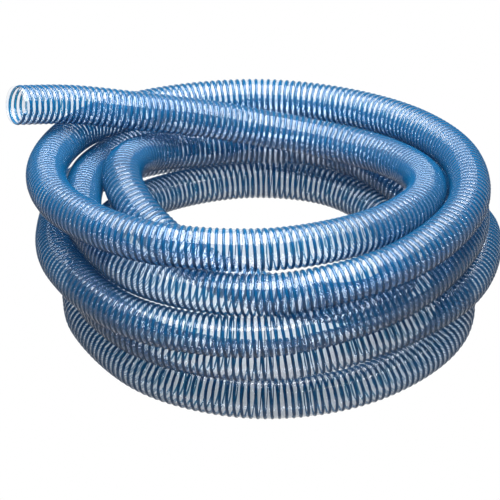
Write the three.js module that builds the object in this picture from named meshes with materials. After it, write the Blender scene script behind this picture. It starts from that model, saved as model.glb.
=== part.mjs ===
// A loosely laid coil of two inch suction hose: one hollow tube, extruded along the route in which it lies.
// Millimetres, +Z up, standing on z = 0. The photographed side faces -Y, and the open free end points to -X.
import * as THREE from 'three';

// Section of the hose
const boreDiameter = 50.8;
const wallThickness = 4.1;
const sectionSides = 12;

// Route of the centre line, as stations around an upright axis.
// Bearings are degrees clockwise seen from above, counted from +Y. Radii and heights are of the centre line.
const coilCentreX = 12.7;
const coilCentreY = 22.6;
const coilBaseHeight = -0.3;
const bearingStep = 30;
const stepsPerTurn = 24;

// The free end leads in over the left side of the coil: bearing, radius, height
const freeEnd = [
  [-83, 363, 285], [-72, 295, 257], [-55, 217, 224], [-30, 178, 194],
];

// One row of stations for each turn, from the top of the coil down, each station as radius, height
const turns = [
  [[171, 166], [184, 153], [207, 161], [233, 190], [259, 230], [284, 260],
    [311, 276], [328, 273], [323, 248], [312, 213], [300, 186], [274, 169]],
  [[260, 166], [258, 172], [270, 189], [293, 214], [325, 234], [343, 236],
    [343, 224], [322, 210], [284, 194], [263, 167], [278, 127], [295, 107]],
  [[307, 103], [307, 106], [306, 122], [303, 148], [320, 172], [342, 174],
    [355, 164], [348, 154], [325, 145], [302, 115], [318, 77], [321, 47]],
  [[307, 32], [300, 31], [313, 43], [325, 91], [332, 109], [325, 110],
    [328, 102], [319, 99], [288, 92], [241, 83], [226, 62], [225, 42]],
  [[231, 32], [235, 31], [226, 30], [207, 34], [210, 58], [210, 93],
    [208, 132], [204, 168], [200, 190], [205, 190], [211, 160], [210, 121]],
  [[222, 104], [235, 102], [242, 95], [269, 58], [316, 35], [322, 30],
    [321, 30], [311, 30], [290, 30]],
];

// The other end lies on the floor under the left side of the coil: bearing past the last turn, radius, height
const floorEnd = [256, 276, 30];

const outerRadius = boreDiameter / 2 + wallThickness;

function station(bearing, radius, height) {
  const angle = THREE.MathUtils.degToRad(bearing);
  return new THREE.Vector3(
    coilCentreX + radius * Math.sin(angle),
    coilCentreY + radius * Math.cos(angle),
    coilBaseHeight + height,
  );
}

function coilStations() {
  const stations = freeEnd.map(([bearing, radius, height]) => station(bearing, radius, height));
  let bearing = 0;
  for (const turn of turns) {
    for (const [radius, height] of turn) {
      stations.push(station(bearing, radius, height));
      bearing += bearingStep;
    }
  }
  const [lastBearing, radius, height] = floorEnd;
  stations.push(station(lastBearing, radius, height));
  return stations;
}

function ringOutline(radius) {
  const points = [];
  for (let i = 0; i < sectionSides; i += 1) {
    const angle = (i / sectionSides) * 2 * Math.PI;
    points.push(new THREE.Vector2(radius * Math.cos(angle), radius * Math.sin(angle)));
  }
  return points;
}

function hoseSection() {
  const section = new THREE.Shape(ringOutline(outerRadius));
  section.holes.push(new THREE.Path(ringOutline(boreDiameter / 2)));
  return section;
}

const route = new THREE.CatmullRomCurve3(coilStations(), false, 'centripetal');
route.arcLengthDivisions = 3000;

const clearBlueVinyl = new THREE.MeshStandardMaterial({
  color: 0x3f86bd,
  roughness: 0.2,
  metalness: 0,
});

const hose = new THREE.Mesh(
  new THREE.ExtrudeGeometry(hoseSection(), {
    steps: stepsPerTurn * turns.length,
    bevelEnabled: false,
    extrudePath: route,
  }),
  clearBlueVinyl,
);
hose.name = 'hose';

const coiledHose = new THREE.Group();
coiledHose.add(hose);

export default coiledHose;
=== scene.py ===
import math
import bpy
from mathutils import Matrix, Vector


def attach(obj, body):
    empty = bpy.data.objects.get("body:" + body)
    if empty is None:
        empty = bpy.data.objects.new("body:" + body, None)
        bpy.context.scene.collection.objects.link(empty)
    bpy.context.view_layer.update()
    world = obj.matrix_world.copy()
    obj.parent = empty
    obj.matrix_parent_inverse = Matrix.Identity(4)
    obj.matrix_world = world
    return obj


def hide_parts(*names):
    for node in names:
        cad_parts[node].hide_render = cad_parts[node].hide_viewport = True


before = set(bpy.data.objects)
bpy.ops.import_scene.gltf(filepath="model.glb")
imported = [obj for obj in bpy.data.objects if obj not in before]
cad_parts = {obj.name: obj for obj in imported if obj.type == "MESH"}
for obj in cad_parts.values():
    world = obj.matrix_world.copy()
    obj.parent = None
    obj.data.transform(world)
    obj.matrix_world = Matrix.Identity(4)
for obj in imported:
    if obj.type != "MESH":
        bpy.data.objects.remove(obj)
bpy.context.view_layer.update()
scene = bpy.context.scene

# Camera

cameraSet = {
    "elevation": 35.0,                 # degrees above the floor
    "distance": 3.55,                  # metres from the point it looks at
    "lookAt": (0.0127, -0.0374, 0.0997),
    "lens": 174.24,                    # millimetres
    "sensor": 36.0,
    "shiftX": -0.024,                  # the coil sits a little right of the middle
}


def placeCamera(spec):
    tilt = math.radians(spec["elevation"])
    target = Vector(spec["lookAt"])
    data = bpy.data.cameras.new("camera")
    data.lens = spec["lens"]
    data.sensor_width = spec["sensor"]
    data.shift_x = spec["shiftX"]
    camera = bpy.data.objects.new("camera", data)
    camera.location = target + spec["distance"] * Vector((0.0, -math.cos(tilt), math.sin(tilt)))
    camera.rotation_euler = (math.radians(90.0) - tilt, 0.0, 0.0)
    scene.collection.objects.link(camera)
    scene.camera = camera


placeCamera(cameraSet)
print("camera placed")

# Route of the hose, in metres, with the stations of the frame's own hose

routeSet = {
    "coilCentre": (0.0127, 0.0226),
    "coilBase": -0.0003,
    "bearingStep": 30.0,               # degrees clockwise seen from above, counted from +Y
    "freeEnd": [(-83, 0.363, 0.285), (-72, 0.295, 0.257), (-55, 0.217, 0.224), (-30, 0.178, 0.194)],
    "turns": [                         # radius and height of the centre line, from the top turn down
        [(0.171, 0.166), (0.184, 0.153), (0.207, 0.161), (0.233, 0.190), (0.259, 0.230), (0.284, 0.260),
         (0.311, 0.276), (0.328, 0.273), (0.323, 0.248), (0.312, 0.213), (0.300, 0.186), (0.274, 0.169)],
        [(0.260, 0.166), (0.258, 0.172), (0.270, 0.189), (0.293, 0.214), (0.325, 0.234), (0.343, 0.236),
         (0.343, 0.224), (0.322, 0.210), (0.284, 0.194), (0.263, 0.167), (0.278, 0.127), (0.295, 0.107)],
        [(0.307, 0.103), (0.307, 0.106), (0.306, 0.122), (0.303, 0.148), (0.320, 0.172), (0.342, 0.174),
         (0.355, 0.164), (0.348, 0.154), (0.325, 0.145), (0.302, 0.115), (0.318, 0.077), (0.321, 0.047)],
        [(0.307, 0.032), (0.300, 0.031), (0.313, 0.043), (0.325, 0.091), (0.332, 0.109), (0.325, 0.110),
         (0.328, 0.102), (0.319, 0.099), (0.288, 0.092), (0.241, 0.083), (0.226, 0.062), (0.225, 0.042)],
        [(0.231, 0.032), (0.235, 0.031), (0.226, 0.030), (0.207, 0.034), (0.210, 0.058), (0.210, 0.093),
         (0.208, 0.132), (0.204, 0.168), (0.200, 0.190), (0.205, 0.190), (0.211, 0.160), (0.210, 0.121)],
        [(0.222, 0.104), (0.235, 0.102), (0.242, 0.095), (0.269, 0.058), (0.316, 0.035), (0.322, 0.030),
         (0.321, 0.030), (0.311, 0.030), (0.290, 0.030)],
    ],
    "floorEnd": (256, 0.276, 0.030),
    "stepsBetween": 12,                # points on the line from one station to the next
}


def stationPoint(bearing, radius, height):
    angle = math.radians(bearing)
    x, y = routeSet["coilCentre"]
    z = routeSet["coilBase"] + height
    return Vector((x + radius * math.sin(angle), y + radius * math.cos(angle), z))


def routeStations():
    stations = [stationPoint(*row) for row in routeSet["freeEnd"]]
    bearing = 0.0
    for turn in routeSet["turns"]:
        for radius, height in turn:
            stations.append(stationPoint(bearing, radius, height))
            bearing += routeSet["bearingStep"]
    stations.append(stationPoint(*routeSet["floorEnd"]))
    return stations


# A point of the centripetal curve through four stations, a share of the way from b to c
def betweenStations(a, b, c, d, share):
    ta = 0.0
    tb = ta + (b - a).length ** 0.5
    tc = tb + (c - b).length ** 0.5
    td = tc + (d - c).length ** 0.5
    t = tb + share * (tc - tb)
    ab = a.lerp(b, (t - ta) / (tb - ta))
    bc = b.lerp(c, (t - tb) / (tc - tb))
    cd = c.lerp(d, (t - tc) / (td - tc))
    abc = ab.lerp(bc, (t - ta) / (tc - ta))
    bcd = bc.lerp(cd, (t - tb) / (td - tb))
    return abc.lerp(bcd, (t - tb) / (tc - tb))


def routeLine():
    stations = routeStations()
    ends = [2 * stations[0] - stations[1]] + stations + [2 * stations[-1] - stations[-2]]
    steps = routeSet["stepsBetween"]
    line = []
    for i in range(len(stations) - 1):
        line += [betweenStations(*ends[i:i + 4], k / steps) for k in range(steps)]
    return line + [stations[-1]]


def runLengths(line):
    lengths = [0.0]
    for a, b in zip(line, line[1:]):
        lengths.append(lengths[-1] + (b - a).length)
    return lengths


# A direction square to the line at each point, carried along it without twist
def carryAcross(line):
    across = (line[1] - line[0]).cross(Vector((0.0, 0.0, 1.0))).normalized()
    carried = []
    for i in range(len(line)):
        ahead = (line[min(i + 1, len(line) - 1)] - line[max(i - 1, 0)]).normalized()
        across = (across - ahead * across.dot(ahead)).normalized()
        carried.append(across)
    return carried


route = routeLine()
routeLengths = runLengths(route)
routeAcross = carryAcross(route)
hoseLength = routeLengths[-1]
print("route laid,", round(hoseLength, 3), "m")

# Blue spiral rib, whose measures the wall's look follows too

ribSet = {
    "Pitch": 0.00945,                  # metres along the hose from one rib to the next
    "Radius": 0.0276,                  # of the rib's own centre line
    "Half Height": 0.0019,             # across the wall
    "Half Width": 0.0023,
    "Segments": 24,                    # round the hose
    "Profile Sides": 8,
    "End Gap": 0.0026,                 # from the cut end to the middle of the first rib
    "stretches": 6,                    # pieces that the rib is made in
}

# Materials

glossLook = {
    "squareOn": 0.05,                  # share of light that a face mirrors, seen square on
    "glancing": 0.95,                  # and at a glancing angle
    "falloff": 5.0,
}

wallLook = {
    "tint": (0.965, 0.975, 0.990, 1.0),   # light left after one face of the clear wall
    "hazeColour": (0.45, 0.70, 1.0, 1.0),
    "webHaze": 0.12,                      # share of milky scatter on the way in, between the ribs
    "ribHaze": 0.0,                       # and over them
    "backlit": 0.45,                      # share of that scatter that shines through
    "hazeRoughness": 0.5,
    "roughness": 0.05,
    "waistDepth": 0.0008,                 # how far the web dips between ribs
    "edgeBlur": 0.15,                     # softness of the change from rib to web
}

ribLook = {
    "tint": (0.06, 0.42, 0.62, 1.0),      # light left after one face of the rib, seen square on
    "edgeTint": (0.01, 0.16, 0.34, 1.0),  # and along its flanks
    "clear": 0.60,                        # share that shines straight through at each face
    "colour": (0.003, 0.125, 0.30, 1.0),
    "dyeRoughness": 0.4,
    "roughness": 0.08,
    "crestFrom": 0.20,                    # share of the half height where it stands clear of the wall
    "crestBlur": 0.15,
    "nearFaces": 2.5,                     # a look through more clear faces than this is past the near wall
    "farShare": 0.35,                     # the clear wall is a lens: a far rib seen in it looks this wide
}


def newMaterial(name):
    material = bpy.data.materials.new(name)
    material.use_nodes = True
    material.node_tree.nodes.clear()
    return material, material.node_tree.nodes, material.node_tree.links


def mathNode(nodes, links, operation, first, second=None, third=None):
    node = nodes.new("ShaderNodeMath")
    node.operation = operation
    for socket, value in zip(node.inputs, (first, second, third)):
        if isinstance(value, (int, float)):
            socket.default_value = value
        elif value is not None:
            links.new(value, socket)
    return node.outputs[0]


def rampBetween(nodes, links, value, low, high, lowOut=0.0, highOut=1.0):
    node = nodes.new("ShaderNodeMapRange")
    node.interpolation_type = "SMOOTHSTEP"
    links.new(value, node.inputs["Value"])
    for name, number in (("From Min", low), ("From Max", high), ("To Min", lowOut), ("To Max", highOut)):
        node.inputs[name].default_value = number
    return node.outputs["Result"]


def mixShaders(nodes, links, share, first, second):
    mix = nodes.new("ShaderNodeMixShader")
    if isinstance(share, (int, float)):
        mix.inputs[0].default_value = share
    else:
        links.new(share, mix.inputs[0])
    links.new(first, mix.inputs[1])
    links.new(second, mix.inputs[2])
    return mix.outputs[0]


def glanceOf(nodes):
    weight = nodes.new("ShaderNodeLayerWeight")
    weight.inputs["Blend"].default_value = 0.5
    return weight.outputs["Facing"]


def attributeOf(nodes, name):
    node = nodes.new("ShaderNodeAttribute")
    node.attribute_name = name
    return node.outputs["Fac"]


# 1 where a face is met from its own side, 0 where it is met from within the plastic
def metFromOutside(nodes, links):
    return mathNode(nodes, links, "SUBTRACT", 1.0, nodes.new("ShaderNodeNewGeometry").outputs["Backfacing"])


# Share of light that a plastic face mirrors: little when seen square on, most at a glancing angle
def mirrorShare(nodes, links, look):
    glance = mathNode(nodes, links, "POWER", glanceOf(nodes), look["falloff"])
    rise = look["glancing"] - look["squareOn"]
    share = mathNode(nodes, links, "MULTIPLY_ADD", glance, rise, look["squareOn"])
    return mathNode(nodes, links, "MULTIPLY", share, metFromOutside(nodes, links))


# 1 along the middle of each rib, -1 midway between two ribs
def ribWave(nodes, links, ribs):
    uvMap = nodes.new("ShaderNodeUVMap")
    uvMap.uv_map = "hoseMap"
    split = nodes.new("ShaderNodeSeparateXYZ")
    links.new(uvMap.outputs["UV"], split.inputs[0])
    fromRib = mathNode(nodes, links, "SUBTRACT", split.outputs["X"], ribs["End Gap"] / ribs["Pitch"])
    return mathNode(nodes, links, "COSINE", mathNode(nodes, links, "MULTIPLY", fromRib, 2 * math.pi))


def makeWallMaterial(look, ribs):
    material, nodes, links = newMaterial("clear_vinyl")
    output = nodes.new("ShaderNodeOutputMaterial")
    clear = nodes.new("ShaderNodeBsdfTransparent")
    clear.inputs["Color"].default_value = look["tint"]
    scatter = nodes.new("ShaderNodeBsdfPrincipled")
    scatter.inputs["Base Color"].default_value = look["hazeColour"]
    scatter.inputs["Roughness"].default_value = look["hazeRoughness"]
    scatter.inputs["Specular IOR Level"].default_value = 0.0
    through = nodes.new("ShaderNodeBsdfTranslucent")
    through.inputs["Color"].default_value = look["hazeColour"]
    gloss = nodes.new("ShaderNodeBsdfGlossy")
    gloss.inputs["Roughness"].default_value = look["roughness"]
    wave = ribWave(nodes, links, ribs)
    bump = nodes.new("ShaderNodeBump")
    bump.inputs["Distance"].default_value = look["waistDepth"] / 2
    links.new(wave, bump.inputs["Height"])
    links.new(bump.outputs["Normal"], gloss.inputs["Normal"])
    ribEdge = math.cos(2 * math.pi * ribs["Half Width"] / ribs["Pitch"])
    low, high = ribEdge - look["edgeBlur"], ribEdge + look["edgeBlur"]
    hazeShare = rampBetween(nodes, links, wave, low, high, look["webHaze"], look["ribHaze"])
    hazeShare = mathNode(nodes, links, "MULTIPLY", hazeShare, metFromOutside(nodes, links))
    milk = mixShaders(nodes, links, look["backlit"], scatter.outputs[0], through.outputs[0])
    body = mixShaders(nodes, links, hazeShare, clear.outputs[0], milk)
    coated = mixShaders(nodes, links, mirrorShare(nodes, links, glossLook), body, gloss.outputs[0])
    links.new(coated, output.inputs["Surface"])
    return material


# 1 where the eye meets the flanks of a far rib through the near wall, which the wall's lens effect hides
def hiddenFlank(nodes, links, look):
    inward = mathNode(nodes, links, "LESS_THAN", attributeOf(nodes, "crest"), 0.0)
    backfacing = nodes.new("ShaderNodeNewGeometry").outputs["Backfacing"]
    seenFromBore = mathNode(nodes, links, "SUBTRACT", inward, backfacing)
    seenFromBore = mathNode(nodes, links, "ABSOLUTE", seenFromBore)
    path = nodes.new("ShaderNodeLightPath")
    facesPassed = path.outputs["Transparent Depth"]
    pastNearWall = mathNode(nodes, links, "GREATER_THAN", facesPassed, look["nearFaces"])
    pastNearWall = mathNode(nodes, links, "MULTIPLY", pastNearWall, path.outputs["Is Camera Ray"])
    offMiddle = mathNode(nodes, links, "ABSOLUTE", attributeOf(nodes, "flank"))
    offMiddle = mathNode(nodes, links, "GREATER_THAN", offMiddle, look["farShare"])
    hidden = mathNode(nodes, links, "MULTIPLY", seenFromBore, pastNearWall)
    return mathNode(nodes, links, "MULTIPLY", hidden, offMiddle)


def makeRibMaterial(look):
    material, nodes, links = newMaterial("blue_rib_vinyl")
    output = nodes.new("ShaderNodeOutputMaterial")
    tint = nodes.new("ShaderNodeMix")
    tint.data_type = "RGBA"
    links.new(glanceOf(nodes), tint.inputs["Factor"])
    tint.inputs[6].default_value = look["tint"]
    tint.inputs[7].default_value = look["edgeTint"]
    clear = nodes.new("ShaderNodeBsdfTransparent")
    links.new(tint.outputs[2], clear.inputs["Color"])
    dye = nodes.new("ShaderNodeBsdfPrincipled")
    dye.inputs["Base Color"].default_value = look["colour"]
    dye.inputs["Roughness"].default_value = look["dyeRoughness"]
    dye.inputs["Specular IOR Level"].default_value = 0.0
    gloss = nodes.new("ShaderNodeBsdfGlossy")
    gloss.inputs["Roughness"].default_value = look["roughness"]
    crest = attributeOf(nodes, "crest")
    proud = rampBetween(nodes, links, crest, look["crestFrom"], look["crestFrom"] + look["crestBlur"])
    mirror = mathNode(nodes, links, "MULTIPLY", mirrorShare(nodes, links, glossLook), proud)
    body = mixShaders(nodes, links, look["clear"], dye.outputs[0], clear.outputs[0])
    coated = mixShaders(nodes, links, mirror, body, gloss.outputs[0])
    unseen = nodes.new("ShaderNodeBsdfTransparent")
    shown = mixShaders(nodes, links, hiddenFlank(nodes, links, look), coated, unseen.outputs[0])
    links.new(shown, output.inputs["Surface"])
    return material


wallMaterial = makeWallMaterial(wallLook, ribSet)
ribMaterial = makeRibMaterial(ribLook)
print("materials mixed")

# Clear wall of the hose

wallSet = {
    "boreRadius": 0.0254,
    "webRadius": 0.0282,               # outside of the clear wall between the ribs
    "sides": 32,
    "ringSpacing": 0.016,
}


# Centre, direction along and direction across, at a distance along the hose
def sampleRoute(distance):
    low, high = 0, len(route) - 2
    while low < high:
        middle = (low + high + 1) // 2
        if routeLengths[middle] <= distance:
            low = middle
        else:
            high = middle - 1
    share = (distance - routeLengths[low]) / (routeLengths[low + 1] - routeLengths[low])
    share = min(max(share, 0.0), 1.0)
    centre = route[low].lerp(route[low + 1], share)
    ahead = (route[low + 1] - route[low]).normalized()
    across = routeAcross[low].lerp(routeAcross[low + 1], share)
    return centre, ahead, (across - ahead * across.dot(ahead)).normalized()


# Centre, across and up of each ring of the wall
def ringFrames(count):
    frames = []
    for i in range(count):
        centre, ahead, across = sampleRoute(hoseLength * i / (count - 1))
        frames.append((centre, across, ahead.cross(across)))
    return frames


# Points round each ring, first those of the outside and then those of the bore
def wallPoints(frames, spec):
    points = []
    for radius in (spec["webRadius"], spec["boreRadius"]):
        for centre, across, up in frames:
            for j in range(spec["sides"]):
                angle = 2 * math.pi * j / spec["sides"]
                points.append(centre + radius * (math.cos(angle) * across + math.sin(angle) * up))
    return points


# Each corner of a face is its ring, its side and whether it is in the bore
def wallQuads(count, sides):
    quads = []
    for i in range(count - 1):
        for j in range(sides):
            quad = [(i, j, 0), (i, j + 1, 0), (i + 1, j + 1, 0), (i + 1, j, 0)]
            quads.append(quad)
            quads.append([(p, q, 1) for p, q, _ in reversed(quad)])
    for j in range(sides):
        quads.append([(0, j, 0), (0, j, 1), (0, j + 1, 1), (0, j + 1, 0)])
        i = count - 1
        quads.append([(i, j + 1, 0), (i, j + 1, 1), (i, j, 1), (i, j, 0)])
    return quads


# The map counts ribs along the hose, less the share of a turn at that side, so a rib is straight on it
def makeWall(spec):
    count = round(hoseLength / spec["ringSpacing"]) + 1
    sides = spec["sides"]
    frames = ringFrames(count)
    quads = wallQuads(count, sides)
    faces = [[(bore * count + i) * sides + j % sides for i, j, bore in quad] for quad in quads]
    mesh = bpy.data.meshes.new("hose_wall")
    mesh.from_pydata(wallPoints(frames, spec), [], faces)
    ribsPerRing = hoseLength / (count - 1) / ribSet["Pitch"]
    hoseMap = []
    for quad in quads:
        for i, j, _ in quad:
            hoseMap += [i * ribsPerRing - j / sides, j / sides]
    mesh.uv_layers.new(name="hoseMap").data.foreach_set("uv", hoseMap)
    mesh.polygons.foreach_set("use_smooth", [True] * len(mesh.polygons))
    mesh.materials.append(wallMaterial)
    wall = bpy.data.objects.new("hose_wall", mesh)
    scene.collection.objects.link(wall)
    return wall, [centre for centre, _, _ in frames]


hoseWall, ringCentres = makeWall(wallSet)
print("wall made,", len(hoseWall.data.polygons), "faces")

# The rib is wound in one piece for each stretch of the coil


def makeRouteThread():
    mesh = bpy.data.meshes.new("route")
    mesh.from_pydata(route, [(i, i + 1) for i in range(len(route) - 1)], [])
    layer = mesh.attributes.new("across", "FLOAT_VECTOR", "POINT")
    layer.data.foreach_set("vector", [value for across in routeAcross for value in across])
    thread = bpy.data.objects.new("route", mesh)
    scene.collection.objects.link(thread)
    return thread


def addNode(nodes, kind, **settings):
    node = nodes.new(kind)
    for key, value in settings.items():
        setattr(node, key, value)
    return node


def vectorNode(nodes, links, operation, first, second=None, scale=None):
    node = addNode(nodes, "ShaderNodeVectorMath", operation=operation)
    links.new(first, node.inputs[0])
    if second is not None:
        links.new(second, node.inputs[1])
    if scale is not None:
        links.new(scale, node.inputs["Scale"])
    return node.outputs[0]


def addRibSockets(tree):
    face = tree.interface
    face.new_socket("Geometry", in_out="INPUT", socket_type="NodeSocketGeometry")
    face.new_socket("Route", in_out="INPUT", socket_type="NodeSocketObject")
    face.new_socket("Material", in_out="INPUT", socket_type="NodeSocketMaterial")
    for name in ("Pitch", "Radius", "Half Height", "Half Width", "End Gap"):
        face.new_socket(name, in_out="INPUT", socket_type="NodeSocketFloat")
    for name in ("First Rib", "Rib Count", "Segments", "Profile Sides"):
        face.new_socket(name, in_out="INPUT", socket_type="NodeSocketInt")
    face.new_socket("Geometry", in_out="OUTPUT", socket_type="NodeSocketGeometry")


# The route at a distance along it, with the direction that is carried across it
def sampleThread(nodes, links, given, along):
    info = addNode(nodes, "GeometryNodeObjectInfo", transform_space="ORIGINAL")
    links.new(given["Route"], info.inputs["Object"])
    routeCurve = nodes.new("GeometryNodeMeshToCurve")
    links.new(info.outputs["Geometry"], routeCurve.inputs["Mesh"])
    carried = addNode(nodes, "GeometryNodeInputNamedAttribute", data_type="FLOAT_VECTOR")
    carried.inputs["Name"].default_value = "across"
    sample = addNode(nodes, "GeometryNodeSampleCurve", mode="LENGTH", data_type="FLOAT_VECTOR")
    links.new(routeCurve.outputs["Curve"], sample.inputs["Curves"])
    links.new(carried.outputs["Attribute"], sample.inputs["Value"])
    links.new(along, sample.inputs["Length"])
    return sample.outputs


# The rib's own line, wound round the route, with its normal turned away from the hose
def windLine(nodes, links, given):
    spread = nodes.new("GeometryNodeResampleCurve")
    links.new(nodes.new("GeometryNodeCurvePrimitiveLine").outputs["Curve"], spread.inputs["Curve"])
    pointCount = mathNode(nodes, links, "MULTIPLY_ADD", given["Rib Count"], given["Segments"], 1.0)
    links.new(pointCount, spread.inputs["Count"])
    index = nodes.new("GeometryNodeInputIndex").outputs[0]
    turned = mathNode(nodes, links, "DIVIDE", index, given["Segments"])
    ribPlace = mathNode(nodes, links, "ADD", turned, given["First Rib"])
    along = mathNode(nodes, links, "MULTIPLY_ADD", ribPlace, given["Pitch"], given["End Gap"])
    thread = sampleThread(nodes, links, given, along)
    angle = mathNode(nodes, links, "MULTIPLY", ribPlace, 2 * math.pi)
    up = vectorNode(nodes, links, "CROSS_PRODUCT", thread["Tangent"], thread["Value"])
    up = vectorNode(nodes, links, "NORMALIZE", up)
    across = vectorNode(nodes, links, "CROSS_PRODUCT", up, thread["Tangent"])
    across = vectorNode(nodes, links, "SCALE", across, scale=mathNode(nodes, links, "COSINE", angle))
    up = vectorNode(nodes, links, "SCALE", up, scale=mathNode(nodes, links, "SINE", angle))
    outward = vectorNode(nodes, links, "NORMALIZE", vectorNode(nodes, links, "ADD", across, up))
    offset = vectorNode(nodes, links, "SCALE", outward, scale=given["Radius"])
    place = nodes.new("GeometryNodeSetPosition")
    links.new(spread.outputs["Curve"], place.inputs["Geometry"])
    position = vectorNode(nodes, links, "ADD", thread["Position"], offset)
    links.new(position, place.inputs["Position"])
    turnOut = addNode(nodes, "GeometryNodeSetCurveNormal", mode="FREE")
    links.new(place.outputs["Geometry"], turnOut.inputs["Curve"])
    links.new(outward, turnOut.inputs["Normal"])
    return turnOut.outputs["Curve"]


# The rib's oval section, which keeps how far up and how far aside each point of it lies
def ribSection(nodes, links, given):
    ring = addNode(nodes, "GeometryNodeCurvePrimitiveCircle", mode="RADIUS")
    links.new(given["Profile Sides"], ring.inputs["Resolution"])
    ring.inputs["Radius"].default_value = 1.0
    split = nodes.new("ShaderNodeSeparateXYZ")
    links.new(nodes.new("GeometryNodeInputPosition").outputs[0], split.inputs[0])
    profile = ring.outputs["Curve"]
    for name, axis in (("crest", "X"), ("flank", "Y")):
        store = addNode(nodes, "GeometryNodeStoreNamedAttribute", data_type="FLOAT", domain="POINT")
        store.inputs["Name"].default_value = name
        links.new(profile, store.inputs["Geometry"])
        links.new(split.outputs[axis], store.inputs["Value"])
        profile = store.outputs["Geometry"]
    size = nodes.new("ShaderNodeCombineXYZ")
    links.new(given["Half Height"], size.inputs["X"])
    links.new(given["Half Width"], size.inputs["Y"])
    size.inputs["Z"].default_value = 1.0
    section = nodes.new("GeometryNodeTransform")
    links.new(profile, section.inputs["Geometry"])
    links.new(size.outputs[0], section.inputs["Scale"])
    return section.outputs["Geometry"]


def makeRibTree():
    tree = bpy.data.node_groups.new("spiralRib", "GeometryNodeTree")
    addRibSockets(tree)
    nodes, links = tree.nodes, tree.links
    given = nodes.new("NodeGroupInput").outputs
    sweep = nodes.new("GeometryNodeCurveToMesh")
    links.new(windLine(nodes, links, given), sweep.inputs["Curve"])
    links.new(ribSection(nodes, links, given), sweep.inputs["Profile Curve"])
    sweep.inputs["Fill Caps"].default_value = True
    smooth = nodes.new("GeometryNodeSetShadeSmooth")
    links.new(sweep.outputs["Mesh"], smooth.inputs["Geometry"])
    realize = nodes.new("GeometryNodeRealizeInstances")
    links.new(smooth.outputs["Geometry"], realize.inputs["Geometry"])
    dress = nodes.new("GeometryNodeSetMaterial")
    links.new(realize.outputs["Geometry"], dress.inputs["Geometry"])
    links.new(given["Material"], dress.inputs["Material"])
    out = nodes.new("NodeGroupOutput")
    links.new(dress.outputs["Geometry"], out.inputs["Geometry"])
    return tree


def socketOf(tree, name):
    return next(item.identifier for item in tree.interface.items_tree
                if item.name == name and item.in_out == "INPUT")


def makeRibs(spec):
    thread = makeRouteThread()
    tree = makeRibTree()
    ribCount = int((hoseLength - 2 * spec["End Gap"]) / spec["Pitch"])
    pieces = []
    first = 0
    for n in range(spec["stretches"]):
        last = round(ribCount * (n + 1) / spec["stretches"])
        piece = bpy.data.objects.new(f"spiral_rib_{n + 1}", bpy.data.meshes.new("spiral_rib"))
        scene.collection.objects.link(piece)
        modifier = piece.modifiers.new("spiralRib", "NODES")
        modifier.node_group = tree
        values = {name: spec[name] for name in spec if name != "stretches"}
        values.update({"Route": thread, "Material": ribMaterial})
        values.update({"First Rib": first, "Rib Count": last - first})
        for name, value in values.items():
            modifier[socketOf(tree, name)] = value
        evaluated = piece.evaluated_get(bpy.context.evaluated_depsgraph_get())
        mesh = bpy.data.meshes.new_from_object(evaluated)
        piece.modifiers.remove(modifier)
        piece.data = mesh
        pieces.append(piece)
        first = last
    bpy.data.objects.remove(thread)
    return pieces


ribs = makeRibs(ribSet)
print("ribs wound,", sum(len(rib.data.polygons) for rib in ribs), "faces")

# Every piece rides on the one body and stands for the plain hose

for piece in [hoseWall, *ribs]:
    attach(piece, "root")
    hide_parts("hose")

# Floor and light

studioSet = {
    "floorSize": 14.0,
    "floorSeen": 1.0,                  # brightness of the floor where the camera looks at it
    "floorMirrored": 0.8,              # and as the hose mirrors it
    "floorGlow": 0.25,                 # and as it lights the hose
    "shadeDepth": 0.45,                # how much darker it is under the turns, where it is seen through them
    "shadeRing": (0.15, 0.23, 0.36, 0.44),   # radii: shade begins, is full, starts to fade, ends
    "throughFaces": 0.5,               # a look that passed more clear faces than this goes through the hose
    "facesFollowed": 48,               # clear faces that a look may pass before it ends
    "world": (0.85, 0.92, 1.0, 1.0),
    "worldStrength": 0.12,
    "softboxSize": (2.4, 2.44),
    "softboxPlace": (0.0, 0.19, 1.9),
    "softboxPower": 208.0,
}


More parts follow.
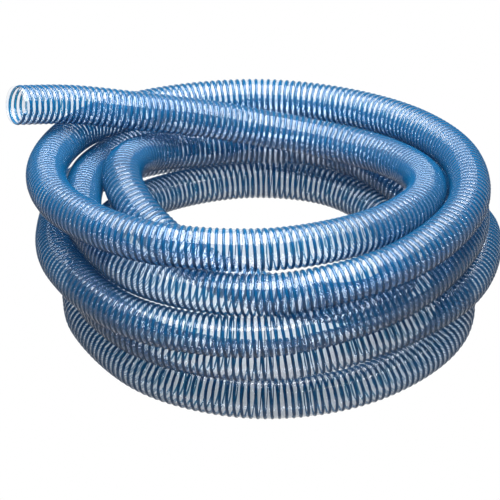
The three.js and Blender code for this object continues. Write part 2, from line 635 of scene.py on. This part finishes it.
# Brightness of the floor, even where it is seen past the hose and shaded where it is seen through the turns
def floorStrength(nodes, links, spec):
    path = nodes.new("ShaderNodeLightPath")
    place = nodes.new("ShaderNodeTexCoord")
    radius = nodes.new("ShaderNodeVectorMath")
    radius.operation = "LENGTH"
    links.new(place.outputs["Object"], radius.inputs[0])
    distance = radius.outputs["Value"]
    inner, full, falling, outer = spec["shadeRing"]
    ring = mathNode(nodes, links, "MULTIPLY", rampBetween(nodes, links, distance, inner, full),
                    rampBetween(nodes, links, distance, falling, outer, 1.0, 0.0))
    facesPassed = path.outputs["Transparent Depth"]
    throughHose = mathNode(nodes, links, "GREATER_THAN", facesPassed, spec["throughFaces"])
    shade = mathNode(nodes, links, "MULTIPLY", ring, throughHose)
    shade = mathNode(nodes, links, "MULTIPLY", shade, spec["shadeDepth"])
    seen = mathNode(nodes, links, "SUBTRACT", spec["floorSeen"] - spec["floorGlow"], shade)
    seen = mathNode(nodes, links, "MULTIPLY", path.outputs["Is Camera Ray"], seen)
    mirrored = spec["floorMirrored"] - spec["floorGlow"]
    mirrored = mathNode(nodes, links, "MULTIPLY", path.outputs["Is Glossy Ray"], mirrored)
    extra = mathNode(nodes, links, "ADD", seen, mirrored)
    return mathNode(nodes, links, "ADD", extra, spec["floorGlow"])


def makeFloor(spec):
    half = spec["floorSize"] / 2
    corners = [(-half, -half, 0), (half, -half, 0), (half, half, 0), (-half, half, 0)]
    mesh = bpy.data.meshes.new("floor")
    mesh.from_pydata(corners, [], [(0, 1, 2, 3)])
    material, nodes, links = newMaterial("pale_floor")
    glow = nodes.new("ShaderNodeEmission")
    links.new(floorStrength(nodes, links, spec), glow.inputs["Strength"])
    output = nodes.new("ShaderNodeOutputMaterial")
    links.new(glow.outputs[0], output.inputs["Surface"])
    mesh.materials.append(material)
    floor = bpy.data.objects.new("floor", mesh)
    scene.collection.objects.link(floor)


def makeLight(spec):
    data = bpy.data.lights.new("softbox", "AREA")
    data.shape = "RECTANGLE"
    data.size, data.size_y = spec["softboxSize"]
    data.energy = spec["softboxPower"]
    softbox = bpy.data.objects.new("softbox", data)
    softbox.location = spec["softboxPlace"]
    scene.collection.objects.link(softbox)
    world = bpy.data.worlds.new("studio")
    world.use_nodes = True
    background = world.node_tree.nodes["Background"]
    background.inputs["Color"].default_value = spec["world"]
    background.inputs["Strength"].default_value = spec["worldStrength"]
    scene.world = world


makeFloor(studioSet)
makeLight(studioSet)
scene.view_settings.view_transform = "Standard"
scene.cycles.transparent_max_bounces = studioSet["facesFollowed"]
print("studio lit")
